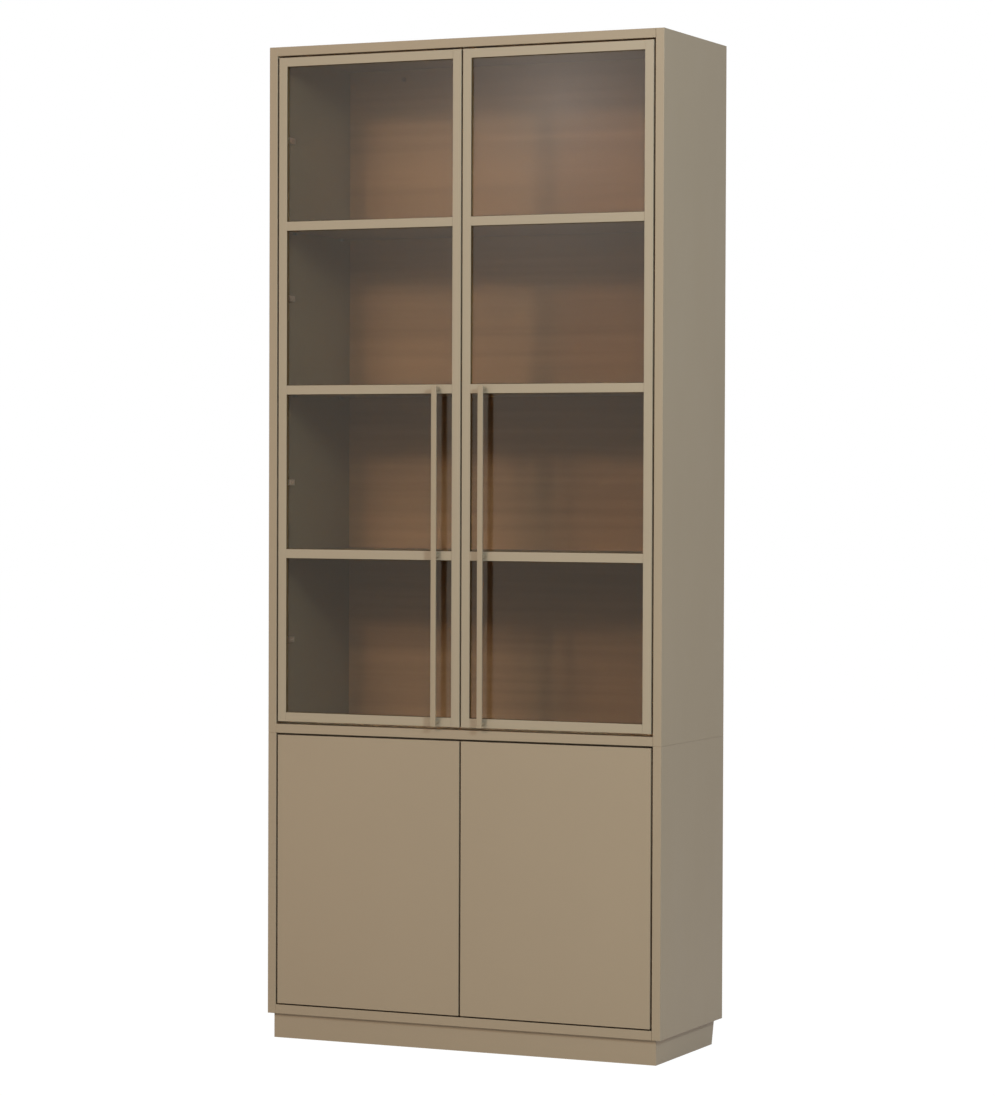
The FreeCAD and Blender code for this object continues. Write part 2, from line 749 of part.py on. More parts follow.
def make_upper_doors():
    left = -(hinge_edge - frame_width)
    right = -(meeting_edge + frame_width)
    low = upper_door_bottom + frame_width
    high = upper_door_top - frame_width
    handle_x = -handle_centre
    stud_holes = [stud_hole(handle_x, z) for z in post_heights]
    glass = block((left - glass_bite, right + glass_bite), (glass_front, glass_back),
                  (low - glass_bite, high + glass_bite))
    strike_x = (-catch_offset - strike_length / 2, -catch_offset + strike_length / 2)
    strike = block(strike_x, (frame_back, frame_back + strike_thickness),
                   (upper_door_top - strike_drop - strike_height,
                    upper_door_top - strike_drop))
    pieces = {
        "hinge_stile": stile(-hinge_edge, left, 1),
        "meeting_stile": stile(-meeting_edge, right, -1),
        "top_rail": rail(left, right, upper_door_top, -1),
        "bottom_rail": without(rail(left, right, upper_door_bottom, 1), stud_holes[:1]),
        "muntins": [without(muntin(left, right, bottom), stud_holes[1:])
                    for bottom in muntin_bottoms],
        "glass": glass,
        "glass_beads": glazing_beads(left, right, low, high),
        "handle_bar": handle_bar(handle_x),
        "handle_posts": [handle_post(handle_x, z) for z in post_heights],
        "hinge_cups": [narrow_cup(height) for height in upper_hinge_heights],
        "strike_plate": strike,
    }
    keep_pair("upper", pieces)


def keep_pair(unit, pieces):
    """Stores the left-hand pieces of a door and their mirror images."""
    for name, shape in pieces.items():
        twin = [mirrored(item) for item in shape] if isinstance(shape, list) \
            else mirrored(shape)
        keep(unit + "_left_" + name, shape)
        keep(unit + "_right_" + name, twin)


# ---------------------------------------------------------------- base doors
def make_base_doors():
    slab = block((-hinge_edge, -meeting_edge), (front, slab_back),
                 (base_door_bottom, base_door_top))
    slab = eased(slab, 2, [(-hinge_edge, front, None), (-meeting_edge, front, None)])
    slab = eased(slab, 0, [(None, front, base_door_bottom), (None, front, base_door_top)])
    slab = without(slab, [cup_bore(height) for height in base_hinge_heights])
    strike_z = base_top_underside - latch_height / 2
    strike = rod(disc_strike_radius, (-latch_offset, slab_back, strike_z),
                 (-latch_offset, slab_back + disc_strike_thickness, strike_z))
    keep_pair("base", {
        "door_panel": slab,
        "hinge_cups": [round_cup(height) for height in base_hinge_heights],
        "strike_disc": strike,
    })


# ---------------------------------------------------------------- catches
def make_magnet_catches():
    """A magnet in a small housing under the top panel for each glazed door."""
    near = frame_back + strike_thickness + touch_gap
    half = catch_length / 2
    housing = block((-catch_offset - half, -catch_offset + half), (near, near + catch_depth),
                    (upper_ceiling - catch_height, upper_ceiling))
    lower_edges = [(None, near, upper_ceiling - catch_height),
                   (None, near + catch_depth, upper_ceiling - catch_height)]
    keep("magnet_catches", both_sides([eased(housing, 0, lower_edges)]))


def make_push_latches():
    """A sprung plunger in a housing under the base's top panel for each plain door."""
    z = base_top_underside - latch_height / 2
    head_front = slab_back + disc_strike_thickness + touch_gap
    head_back = head_front + plunger_head_length
    housing_front = head_back + touch_gap
    x_range = (-latch_offset - latch_width / 2, -latch_offset + latch_width / 2)
    housing = block(x_range, (housing_front, housing_front + latch_length),
                    (base_top_underside - latch_height, base_top_underside))
    lower_edges = [(x, None, base_top_underside - latch_height) for x in x_range]
    bore_end = housing_front + latch_length - (latch_width / 2 - plunger_radius)
    bore = rod(plunger_radius + plunger_clearance, (-latch_offset, housing_front - overcut, z),
               (-latch_offset, bore_end, z))
    housing = eased(housing, 1, lower_edges).cut(bore)
    keep("push_latch_housings", both_sides([housing]))
    head = rod(plunger_head_radius, (-latch_offset, head_front, z),
               (-latch_offset, head_back, z))
    shaft = rod(plunger_radius, (-latch_offset, head_back, z),
                (-latch_offset, head_back + plunger_length, z))
    plunger = joined([head, shaft])
    keep("push_latch_plunger_left", plunger)
    keep("push_latch_plunger_right", mirrored(plunger))


# ---------------------------------------------------------------- the whole cabinet
def main():
    make_plinth()
    make_carcass()
    make_shelves()
    make_cam_fittings()
    make_unit_bolts()
    make_carcass_hinge_parts()
    make_magnet_catches()
    make_push_latches()
    make_upper_doors()
    make_base_doors()
    os.makedirs("parts", exist_ok=True)
    for name, shape in nodes.items():
        shape.exportStep("parts/" + name + ".step")
    print(len(nodes), "nodes written")


main()
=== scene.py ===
import math

import bmesh
import bpy
from bpy.props import FloatProperty, FloatVectorProperty, PointerProperty
from mathutils import Matrix, Vector


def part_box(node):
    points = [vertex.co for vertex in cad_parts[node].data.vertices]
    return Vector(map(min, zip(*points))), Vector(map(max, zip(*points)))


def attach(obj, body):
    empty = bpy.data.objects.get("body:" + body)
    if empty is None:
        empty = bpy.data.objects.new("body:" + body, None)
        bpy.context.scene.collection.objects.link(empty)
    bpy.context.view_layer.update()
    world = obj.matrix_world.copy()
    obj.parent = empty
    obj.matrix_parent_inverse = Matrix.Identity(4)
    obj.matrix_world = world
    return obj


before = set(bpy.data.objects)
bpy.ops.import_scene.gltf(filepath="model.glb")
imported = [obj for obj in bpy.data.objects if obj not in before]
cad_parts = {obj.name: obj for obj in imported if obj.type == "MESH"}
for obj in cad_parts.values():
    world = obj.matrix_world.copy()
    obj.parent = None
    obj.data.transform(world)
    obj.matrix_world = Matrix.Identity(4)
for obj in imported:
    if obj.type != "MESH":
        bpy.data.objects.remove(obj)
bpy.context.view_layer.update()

bl_info = {
    "name": "Display Cabinet Dressing",
    "version": (1, 0, 0),
    "blender": (4, 5, 0),
    "location": "View3D > Sidebar > Cabinet",
    "description": "Finishes, small fittings and a studio for a tall glazed cabinet",
    "category": "Object",
}

MM = 0.001
WHITE = (1.0, 1.0, 1.0, 1.0)
SIDES = ((-1, "left"), (1, "right"))

# The body that each door's pieces ride on.
BODIES = {
    "cabinet": "cabinet",
    "upper_left": "upper_left_door",
    "upper_right": "upper_right_door",
    "base_left": "base_left_door",
    "base_right": "base_right_door",
}
# How much smoother the handles are than the frames.
HANDLE_GLOSS = 0.04
# The front edge of the carcass along Y, and the inner face of its right side along X.
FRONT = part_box("upper_side_left")[0][1]
SIDE_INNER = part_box("upper_side_right")[0][0]


# ------------------------------------------------------------------ settings
def colour_property(name, description, default):
    return FloatVectorProperty(
        name=name, description=description, subtype="COLOR", size=3,
        min=0.0, max=1.0, default=default,
    )


def length_property(name, description, default):
    return FloatProperty(
        name=name, description=description, default=default, min=0.0,
        subtype="DISTANCE", unit="LENGTH",
    )


def share_property(name, description, default):
    return FloatProperty(
        name=name, description=description, default=default, min=0.0, max=1.0,
        subtype="FACTOR",
    )


class CabinetFinishes(bpy.types.PropertyGroup):
    """Colours and gloss of the cabinet's surfaces."""

    lacquer: colour_property(
        "Lacquer", "Satin lacquer of the boards and plain doors", (0.317, 0.224, 0.140))
    coating: colour_property(
        "Frame coating", "Coating of the glazed doors' frames", (0.338, 0.249, 0.162))
    handle: colour_property(
        "Handle coating", "Coating of the bars and their posts", (0.316, 0.226, 0.142))
    veneer_light: colour_property(
        "Veneer, light", "Early wood of the back panels", (0.585, 0.341, 0.184))
    veneer_dark: colour_property(
        "Veneer, dark", "Late wood of the back panels", (0.407, 0.236, 0.124))
    board: colour_property(
        "Bare board", "Hidden boards of the plinth", (0.42, 0.33, 0.23))
    glass_tint: colour_property(
        "Glass tint", "What a bronze pane lets through", (0.440, 0.406, 0.363))
    glass_sheen: colour_property(
        "Glass sheen", "Tint of what a pane mirrors", (1.0, 0.86, 0.78))
    steel: colour_property(
        "Plated steel", "Hinges, bolts and screws", (0.93, 0.83, 0.73))
    plastic: colour_property(
        "Plastic", "Latches, catches, shelf supports and feet", (0.20, 0.195, 0.185))
    # Partly painted shade: the seal is real sealant, but its dark colour also stands in for
    # the shade along the frames' inner edges round the panes.
    seal_and_shade: colour_property(
        "Seal", "Bead of sealant round each pane", (0.085, 0.047, 0.018))
    lacquer_roughness: share_property(
        "Lacquer roughness", "How matt the lacquer is", 0.46)
    coating_roughness: share_property(
        "Coating roughness", "How matt the frames and handles are", 0.38)


class CabinetFittings(bpy.types.PropertyGroup):
    """Sizes of the small fittings."""

    screw_head: length_property(
        "Screw head", "Diameter of the hinge screws' heads", 7.2 * MM)
    screw_dome: length_property(
        "Screw dome", "Height of the hinge screws' heads", 1.7 * MM)
    seal_width: length_property(
        "Seal width", "How far the sealant runs onto the glass", 1.1 * MM)
    # The bead runs up the frame's inner edge, where its dark colour paints the shade that
    # falls there.
    seal_height: length_property(
        "Seal height", "How far the sealant runs up the frame", 4.6 * MM)
    cap_size: length_property(
        "Cap", "Diameter of the caps over the wall fixings", 11.0 * MM)
    buffer_size: length_property(
        "Buffer", "Diameter of the clear buffers behind the doors", 8.0 * MM)


class CabinetStage(bpy.types.PropertyGroup):
    """Camera, lamps and floor."""

    camera_position: FloatVectorProperty(
        name="Camera position", description="Where the camera stands",
        subtype="TRANSLATION", unit="LENGTH", size=3,
        default=(3.21564, -7.01065, 1.19823))
    camera_yaw: FloatProperty(
        name="Yaw", description="Turn to the left from facing the back wall",
        subtype="ANGLE", default=0.4289886)
    camera_pitch: FloatProperty(
        name="Pitch", description="Tilt above the horizon",
        subtype="ANGLE", default=-0.0200889)
    camera_roll: FloatProperty(
        name="Roll", description="Turn about the line of sight",
        subtype="ANGLE", default=0.0034594)
    camera_lens: FloatProperty(
        name="Lens", description="Focal length on a 36 mm long side",
        unit="CAMERA", default=119.975)
    key_power: FloatProperty(
        name="Key power", description="Lamp in front, high and a little to the left",
        unit="POWER", default=132.7)
    key_colour: colour_property("Key colour", "Colour of the key lamp", (1.0, 0.95, 0.885))
    fill_power: FloatProperty(
        name="Fill power", description="Cool lamp in front on the right",
        unit="POWER", default=113.0)
    fill_colour: colour_property("Fill colour", "Colour of the fill lamp", (0.589, 0.832, 1.0))
    screen_base: FloatProperty(
        name="Screen base", description="Even brightness of the screen",
        default=0.69, min=0.0)
    screen_colour: colour_property(
        "Screen colour", "Colour of the screen's even brightness", (0.916, 1.0, 0.955))
    screen_glow: FloatProperty(
        name="Screen glow", description="Brightness added at the screen's hot spot",
        default=2.18, min=0.0)
    screen_fade: length_property(
        "Screen fade", "Distance over which the hot spot halves", 0.335)
    surround: FloatProperty(
        name="Surround", description="Light from the room all round", default=0.362, min=0.0)
    floor_colour: colour_property("Floor", "Plain pale floor", (0.80, 0.79, 0.77))


# ------------------------------------------------------------------ node trees
# The kinds of group sockets, and what every surface group gives back.
SOCKETS = {"colour": "NodeSocketColor", "value": "NodeSocketFloat"}
SURFACE = (("Colour", "colour"), ("Roughness", "value"), ("Height", "value"))
GLASS_IOR = 1.5


def add_node(tree, kind, values=None, settings=None):
    """Adds a shader node; a value that is a socket is linked, any other is set."""
    node = tree.nodes.new("ShaderNode" + kind)
    for name, setting in (settings or {}).items():
        setattr(node, name, setting)
    for name, value in (values or {}).items():
        socket = node.inputs[name]
        if isinstance(value, bpy.types.NodeSocket):
            tree.links.new(value, socket)
        else:
            socket.default_value = value
    return node


def empty_material(name):
    """A new material and its node tree, with nothing in it yet."""
    material = bpy.data.materials.new(name)
    material.use_nodes = True
    material.node_tree.nodes.clear()
    return material, material.node_tree


def close_tree(tree, shader, kind="OutputMaterial"):
    """Ends a tree with its output."""
    output = add_node(tree, kind)
    tree.links.new(shader.outputs[0], output.inputs["Surface"])


def math_node(tree, operation, first, second):
    node = add_node(tree, "Math", {0: first, 1: second}, {"operation": operation})
    return node.outputs[0]


def stretched(tree, scale):
    """Object coordinates, scaled along each axis."""
    place = add_node(tree, "TexCoord").outputs["Object"]
    mapping = add_node(tree, "Mapping", {"Vector": place, "Scale": scale})
    return mapping.outputs["Vector"]


def evenly(tree):
    return stretched(tree, (1.0, 1.0, 1.0))


def noise(tree, vector, scale=1.0, detail=2.0, roughness=0.5, distortion=0.0):
    """Soft noise from 0 to 1."""
    node = add_node(tree, "TexNoise", {
        "Vector": vector, "Scale": scale, "Detail": detail,
        "Roughness": roughness, "Distortion": distortion,
    })
    return node.outputs["Fac"]


def ranged(tree, value, low, high, from_low=0.0, from_high=1.0):
    """Maps a value from one range to another, and holds it at the ends."""
    node = add_node(tree, "MapRange", {
        "Value": value, "From Min": from_low, "From Max": from_high,
        "To Min": low, "To Max": high,
    })
    return node.outputs["Result"]


def blended(tree, share, first, second):
    """A colour between two others, by the Mix node's sockets for colours."""
    node = add_node(tree, "Mix", {0: share, 6: first, 7: second}, {"data_type": "RGBA"})
    return node.outputs[2]


def new_group(name, inputs):
    """A node group that describes a surface, and the sockets of its input node."""
    tree = bpy.data.node_groups.new(name, "ShaderNodeTree")
    for socket_name, kind, default in inputs:
        socket = tree.interface.new_socket(
            socket_name, in_out="INPUT", socket_type=SOCKETS[kind])
        socket.default_value = default
    for socket_name, kind in SURFACE:
        tree.interface.new_socket(socket_name, in_out="OUTPUT", socket_type=SOCKETS[kind])
    return tree, tree.nodes.new("NodeGroupInput").outputs


def close_group(tree, colour, roughness, height):
    """Links a surface's colour, roughness and bump height to the group's outputs."""
    end = tree.nodes.new("NodeGroupOutput")
    for (socket_name, _), value in zip(SURFACE, (colour, roughness, height)):
        tree.links.new(value, end.inputs[socket_name])


def toned(tree, colour, tone):
    """A colour made lighter or darker by a factor."""
    node = add_node(tree, "VectorMath", {0: colour, "Scale": tone}, {"operation": "SCALE"})
    return node.outputs[0]


def lacquer_group():
    """Sprayed lacquer: faint clouds in the colour, uneven gloss and a fine orange peel."""
    tree, given = new_group("sprayed_lacquer", [
        ("Colour", "colour", (0.5, 0.5, 0.5, 1.0)), ("Roughness", "value", 0.4),
        ("Clouds", "value", 0.05),
    ])
    clouds = noise(tree, evenly(tree), scale=2.6, detail=3.0, roughness=0.55)
    specks = noise(tree, evenly(tree), scale=420.0, roughness=0.6)
    swing = math_node(tree, "MULTIPLY", given["Clouds"], ranged(tree, clouds, -1.0, 1.0))
    speckle = ranged(tree, specks, -0.018, 0.018)
    tone = math_node(tree, "ADD", math_node(tree, "ADD", swing, speckle), 1.0)
    smear = noise(tree, stretched(tree, (1.0, 1.0, 0.35)), scale=9.0, detail=3.0,
                  roughness=0.6)
    gloss = math_node(tree, "ADD", given["Roughness"], ranged(tree, smear, -0.05, 0.05))
    peel = noise(tree, evenly(tree), scale=260.0, roughness=0.45)
    close_group(tree, toned(tree, given["Colour"], tone), gloss, peel)
    return tree


def veneer_group():
    """Wood with the grain lying along X: broad bands, fine fibres and open pores."""
    tree, given = new_group("lying_veneer", [
        ("Light", "colour", (0.3, 0.2, 0.1, 1.0)), ("Dark", "colour", (0.1, 0.05, 0.02, 1.0)),
        ("Roughness", "value", 0.5),
    ])
    bands = noise(tree, stretched(tree, (0.35, 1.0, 7.0)), scale=1.5, detail=4.0,
                  roughness=0.55, distortion=0.4)
    fibres = noise(tree, stretched(tree, (0.9, 1.0, 46.0)), detail=3.0, roughness=0.6)
    pores = noise(tree, stretched(tree, (5.0, 1.0, 520.0)), detail=1.0)
    broad = ranged(tree, bands, 0.0, 1.0, from_low=0.32, from_high=0.68)
    fine = ranged(tree, fibres, 0.0, 1.0, from_low=0.3, from_high=0.7)
    mixed = math_node(tree, "ADD", math_node(tree, "MULTIPLY", broad, 0.45),
                      math_node(tree, "MULTIPLY", fine, 0.55))
    wood = blended(tree, mixed, given["Dark"], given["Light"])
    open_pore = ranged(tree, pores, 0.0, 0.3, from_low=0.62, from_high=0.74)
    gloss = math_node(tree, "ADD", given["Roughness"], ranged(tree, fibres, 0.06, -0.06))
    depth = math_node(tree, "SUBTRACT", fine, math_node(tree, "MULTIPLY", open_pore, 0.8))
    close_group(tree, blended(tree, open_pore, wood, given["Dark"]), gloss, depth)
    return tree


def stain_group():
    """Handled metal and plastic: soft stains in the gloss and a fine lay."""
    tree, given = new_group("handled_surface", [
        ("Colour", "colour", (0.5, 0.5, 0.5, 1.0)), ("Roughness", "value", 0.3),
        ("Lay", "value", 0.5),
    ])
    stains = noise(tree, evenly(tree), scale=45.0, detail=3.0, roughness=0.6)
    lay = noise(tree, stretched(tree, (900.0, 60.0, 60.0)))
    colour = toned(tree, given["Colour"], ranged(tree, stains, 0.93, 1.05))
    gloss = math_node(tree, "ADD", given["Roughness"], ranged(tree, stains, -0.06, 0.1))
    close_group(tree, colour, gloss, math_node(tree, "MULTIPLY", lay, given["Lay"]))
    return tree


def surfaced(name, group, values, constants, bump_strength=0.1, bump_depth=0.05 * MM):
    """A Principled material whose colour, roughness and bump come from a group."""
    material, tree = empty_material(name)
    surface = add_node(tree, "Group", settings={"node_tree": group})
    for socket_name, value in values.items():
        surface.inputs[socket_name].default_value = value
    bump = add_node(tree, "Bump", {
        "Height": surface.outputs["Height"], "Strength": bump_strength,
        "Distance": bump_depth,
    })
    inputs = {
        "Base Color": surface.outputs["Colour"],
        "Roughness": surface.outputs["Roughness"],
        "Normal": bump.outputs["Normal"],
    }
    close_tree(tree, add_node(tree, "BsdfPrincipled", {**inputs, **constants}))
    material.diffuse_color = (*values.get("Colour", values.get("Light"))[:3], 1.0)
    return material


def opaque(colour):
    return (*colour, 1.0)


def group_called(name, maker):
    return bpy.data.node_groups.get(name) or maker()


def lacquer_material(name, colour, roughness, clouds):
    """A sprayed coat whose colour varies by the share given as clouds."""
    group = group_called("sprayed_lacquer", lacquer_group)
    values = {"Colour": opaque(colour), "Roughness": roughness, "Clouds": clouds}
    return surfaced(name, group, values, {"Specular IOR Level": 0.25},
                    bump_strength=0.12, bump_depth=0.15 * MM)


def handled_material(name, colour, roughness, lay, constants):
    """Metal or plastic with the marks of handling."""
    group = group_called("handled_surface", stain_group)
    values = {"Colour": opaque(colour), "Roughness": roughness, "Lay": lay}
    return surfaced(name, group, values, constants)


def steel_material():
    """Nickel plating, shared by the fittings and their screws."""
    colour = bpy.context.scene.cabinet_finishes.steel
    return bpy.data.materials.get("nickel_plating") or handled_material(
        "nickel_plating", colour, roughness=0.55, lay=0.5, constants={"Metallic": 1.0})


def plastic_material(name, colour, roughness, shine=0.5):
    return handled_material(name, colour, roughness, lay=0.2,
                            constants={"Specular IOR Level": shine})


def glass_material(finishes):
    """Bronze float glass that bends and mirrors, and lets the lamps' rays through."""
    material, tree = empty_material("float_glass")
    smudge = noise(tree, evenly(tree), scale=7.0, detail=4.0, roughness=0.6)
    shader = add_node(tree, "BsdfPrincipled", {
        "Base Color": opaque(finishes.glass_tint), "Transmission Weight": 1.0,
        "IOR": GLASS_IOR, "Specular Tint": opaque(finishes.glass_sheen),
        "Roughness": ranged(tree, smudge, 0.0, 0.012, from_low=0.45, from_high=0.75),
    })
    surface_tint = [math.sqrt(channel) for channel in finishes.glass_tint]
    clear = add_node(tree, "BsdfTransparent", {"Color": opaque(surface_tint)})
    path = add_node(tree, "LightPath")
    choice = add_node(tree, "MixShader", {
        0: path.outputs["Is Shadow Ray"], 1: shader.outputs[0], 2: clear.outputs[0],
    })
    close_tree(tree, choice)
    material.diffuse_color = (*finishes.glass_tint, 0.3)
    return material


# ------------------------------------------------------------------ shared steps
def nodes_ending(*endings):
    """The names of the CAD nodes with one of these endings."""
    return [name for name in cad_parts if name.endswith(endings)]


def dress(names, material):
    """Gives the named CAD nodes one material."""
    if not names:
        raise RuntimeError("no nodes to dress with " + material.name)
    for name in names:
        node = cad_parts[name]
        node.data.materials.clear()
        node.data.materials.append(material)


def mesh_from(name, builder):
    """Turns a filled bmesh into a mesh."""
    mesh = bpy.data.meshes.new(name)
    builder.to_mesh(mesh)
    builder.free()
    return mesh


def placed(name, data):
    """A new object in the scene."""
    thing = bpy.data.objects.new(name, data)
    bpy.context.scene.collection.objects.link(thing)
    return thing


def face_outwards(builder):
    bmesh.ops.recalc_face_normals(builder, faces=builder.faces)


def join_rings(builder, rings):
    """Faces between each closed ring of vertices and the next one."""
    for lower, upper in zip(rings, rings[1:]):
        for step in range(len(lower)):
            after = (step + 1) % len(lower)
            builder.faces.new((lower[step], lower[after], upper[after], upper[step]))


def piece_from(name, builder, material, body):
    """Makes a piece from a filled bmesh and lets it ride on a body."""
    piece = placed(name, mesh_from(name, builder))
    piece.data.materials.append(material)
    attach(piece, body)
    return piece


# ------------------------------------------------------------------ screws
# Heights of the hinges above the floor.
HINGE_HEIGHTS = {
    "upper": [0.845, 1.180, 1.571, 1.906],
    "base": [0.164, 0.555],
}
# The plates' screws, back from the front edge, and how far the plates stand off the sides.
PLATE_SCREW_SETBACKS = (37.0 * MM, 69.0 * MM)
PLATE_THICKNESS = 2.0 * MM
# The cups' screws: in from the side's inner face, apart, and back from the front edge.
CUP_SCREWS = {
    "upper": (9.3 * MM, 32.0 * MM, 21.5 * MM),
    "base": (34.5 * MM, 45.0 * MM, 20.2 * MM),
}
# Their heads are smaller than the plates' screws' by these factors.
CUP_HEAD_WIDTH = 0.9
CUP_HEAD_HEIGHT = 0.8

# Shares of a head's height: its upright edge and the depth of its recess.
HEAD_EDGE = 0.25
RECESS_DEPTH = 0.7
# Shares of a head's radius: the flat on its crown and the reach of its recess.
HEAD_CROWN = 0.04
RECESS_REACH = 0.3
# The lands between the slots of the cross: their reach and depth as shares of the slots',
# and the cosine of twice the turn where a slot gives way to a land.
LAND_REACH = 0.42
LAND_DEPTH = 0.9
SLOT_COSINE = 0.8


def screw_head(radius, dome):
    """A domed head that stands on the XY plane, and the open rim of its recess."""
    steps, rings = 24, 5
    builder = bmesh.new()
    rows = []
    for ring in range(rings + 1):
        slope = math.pi / 2 * ring / rings
        ring_radius = radius * (HEAD_CROWN + (1 - HEAD_CROWN) * math.cos(slope))
        height = dome * (HEAD_EDGE + (1 - HEAD_EDGE) * math.sin(slope))
        if ring == rings:
            ring_radius = radius * RECESS_REACH
        row = []
        for step in range(steps):
            turn = 2 * math.pi * step / steps
            row.append(builder.verts.new(
                (ring_radius * math.cos(turn), ring_radius * math.sin(turn), height)))
        rows.append(row)
    base = [builder.verts.new((vert.co.x, vert.co.y, 0.0)) for vert in rows[0]]
    rows.insert(0, base)
    join_rings(builder, rows)
    return builder, rows[-1]


def add_recess(builder, rim, depth):
    """Closes the head with a cross-shaped recess: the rim dips between four lands."""
    floor = []
    for index, vert in enumerate(rim):
        turn = 2 * math.pi * index / len(rim)
        in_slot = abs(math.cos(2 * turn)) > SLOT_COSINE
        reach, dip = (1.0, depth) if in_slot else (LAND_REACH, depth * LAND_DEPTH)
        floor.append(builder.verts.new(
            (vert.co.x * reach, vert.co.y * reach, vert.co.z - dip)))
    join_rings(builder, [rim, floor])
    builder.faces.new(floor)


def screw_set(radius, dome, places):
    """One mesh with a screw head at each place, given as (position, direction, turn)."""
    head, rim = screw_head(radius, dome)
    add_recess(head, rim, dome * RECESS_DEPTH)
    face_outwards(head)
    mesh = mesh_from("screw_pattern", head)
    builder = bmesh.new()
    for position, direction, turn in places:
        aim = Vector(direction).to_track_quat("Z", "Y").to_matrix().to_4x4()
        spot = Matrix.Translation(Vector(position)) @ aim @ Matrix.Rotation(turn, 4, "Z")
        before = len(builder.verts)
        builder.from_mesh(mesh)
        builder.verts.ensure_lookup_table()
        bmesh.ops.transform(builder, matrix=spot, verts=builder.verts[before:])
    bpy.data.meshes.remove(mesh)
    return builder


def plate_screw_places():
    """Heads at both ends of every mounting plate, each stopped at a turn of its own."""
    places = []
    for height in HINGE_HEIGHTS["upper"] + HINGE_HEIGHTS["base"]:
        for side in (-1, 1):
            for setback in PLATE_SCREW_SETBACKS:
                position = (side * (SIDE_INNER - PLATE_THICKNESS), FRONT + setback, height)
                places.append((position, (-side, 0, 0), (height + setback) * 7))
    return places


def cup_screw_places(unit, side):
    """Heads on the cups of one door, each stopped at a turn of its own."""
    inset, spacing, setback = CUP_SCREWS[unit]
    places = []
    for height in HINGE_HEIGHTS[unit]:
        for level in (-1, 1):
            position = (side * (SIDE_INNER - inset), FRONT + setback,
                        height + level * spacing / 2)
            places.append((position, (0, 1, 0), height * 5 + level))
    return places


# ------------------------------------------------------------------ seals, buffers and caps
# Levels of a muntin's edges that lie further apart than this belong to two muntins.
MUNTIN_GAP = 50 * MM
# Shares of a dome: its flat top of the radius, and its upright edge of the thickness.
DOME_FLAT = 0.7
DOME_EDGE = 0.2
# The buffers stand in from a door's free edge, up from its foot and down from its top.
BUFFER_INSET = 12 * MM
BUFFER_LIFT = 12 * MM
BUFFER_DROP = 7 * MM
BUFFER_THICKNESS = 1.6 * MM
CLEAR_PLASTIC = (0.55, 0.54, 0.50)
# The caps' places sideways from the middle and above the floor, and how much darker they
# are than the late wood.
WALL_FIXING = (300.0 * MM, 2060.0 * MM)
CAP_THICKNESS = 1.8 * MM
CAP_SHADE = 0.7


def seal_loop(builder, x_range, z_range, y_glass, width, height, steps=5):
    """A hollow fillet that runs round one pane, against its frame and glass."""
    corners = [(x_range[0], z_range[0], 1, 1), (x_range[1], z_range[0], -1, 1),
               (x_range[1], z_range[1], -1, -1), (x_range[0], z_range[1], 1, -1)]
    rows = []
    for x, z, way_x, way_z in corners:
        row = []
        for step in range(steps + 1):
            turn = math.pi / 2 * step / steps
            out = width * (1 - math.sin(turn))
            rise = height * (1 - math.cos(turn))
            row.append(builder.verts.new((x + way_x * out, y_glass - rise, z + way_z * out)))
        row.append(builder.verts.new((x, y_glass, z)))
        rows.append(row)
    join_rings(builder, [*rows, rows[0]])


def pane_heights(side_name):
    """The lower and upper edges of the four panes of a door."""
    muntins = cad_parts["upper_" + side_name + "_muntins"]
    levels = sorted({round(vert.co.z, 4) for vert in muntins.data.vertices})
    edges = [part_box("upper_" + side_name + "_bottom_rail")[1][2]]
    clusters = []
    for level in levels:
        if not clusters or level - clusters[-1][-1] > MUNTIN_GAP:
            clusters.append([level])
        clusters[-1].append(level)
    for cluster in clusters:
        edges += [cluster[0], cluster[-1]]
    edges.append(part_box("upper_" + side_name + "_top_rail")[0][2])
    return list(zip(edges[0::2], edges[1::2]))


def seal_builder(side_name, width, height):
    """The sealant of one glazed door, between its stiles."""
    inner = [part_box("upper_" + side_name + "_" + part + "_stile")
             for part in ("hinge", "meeting")]
    if side_name == "left":
        x_range = (inner[0][1][0], inner[1][0][0])
    else:
        x_range = (inner[1][1][0], inner[0][0][0])
    y_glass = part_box("upper_" + side_name + "_glass")[0][1]
    builder = bmesh.new()
    for z_range in pane_heights(side_name):
        seal_loop(builder, x_range, z_range, y_glass, width, height)
    face_outwards(builder)
    return builder


def soft_dome(builder, centre, radius, thickness, way):
    """A dot with a rounded top that points along Y, towards +Y or -Y by its way."""
    steps, rings = 20, 4
    rows = []
    for ring in range(rings + 1):
        slope = math.pi / 2 * ring / rings
        row_radius = radius * (DOME_FLAT + (1 - DOME_FLAT) * math.cos(slope))
        rise = thickness * (DOME_EDGE + (1 - DOME_EDGE) * math.sin(slope))
        rows.append([builder.verts.new((
            centre[0] + row_radius * math.cos(2 * math.pi * step / steps),
            centre[1] + way * rise,
            centre[2] + row_radius * math.sin(2 * math.pi * step / steps),
        )) for step in range(steps)])
    rows.insert(0, [builder.verts.new((vert.co.x, centre[1], vert.co.z)) for vert in rows[0]])
    join_rings(builder, rows)
    builder.faces.new(rows[-1])
    builder.faces.new(rows[0][::-1])


# ------------------------------------------------------------------ operators
class CABINET_OT_finish_boards(bpy.types.Operator):
    """Sprays the carcass, plinth, shelves and plain doors with satin lacquer"""

    bl_idname = "cabinet.finish_boards"
    bl_label = "Lacquer the Boards"

    def execute(self, context):
        finishes = context.scene.cabinet_finishes
        lacquer = lacquer_material("taupe_lacquer", finishes.lacquer,
                                   finishes.lacquer_roughness, clouds=0.03)
        dress(nodes_ending(
            "side_left", "side_right", "top_panel", "bottom_panel", "door_panel",
            "shelf_low", "shelf_middle", "shelf_high", "base_shelf", "front_board"), lacquer)
        bare = lacquer_material("raw_board", finishes.board, roughness=0.7, clouds=0.12)
        dress(["plinth_rear_board", "plinth_corner_blocks"], bare)
        return {"FINISHED"}


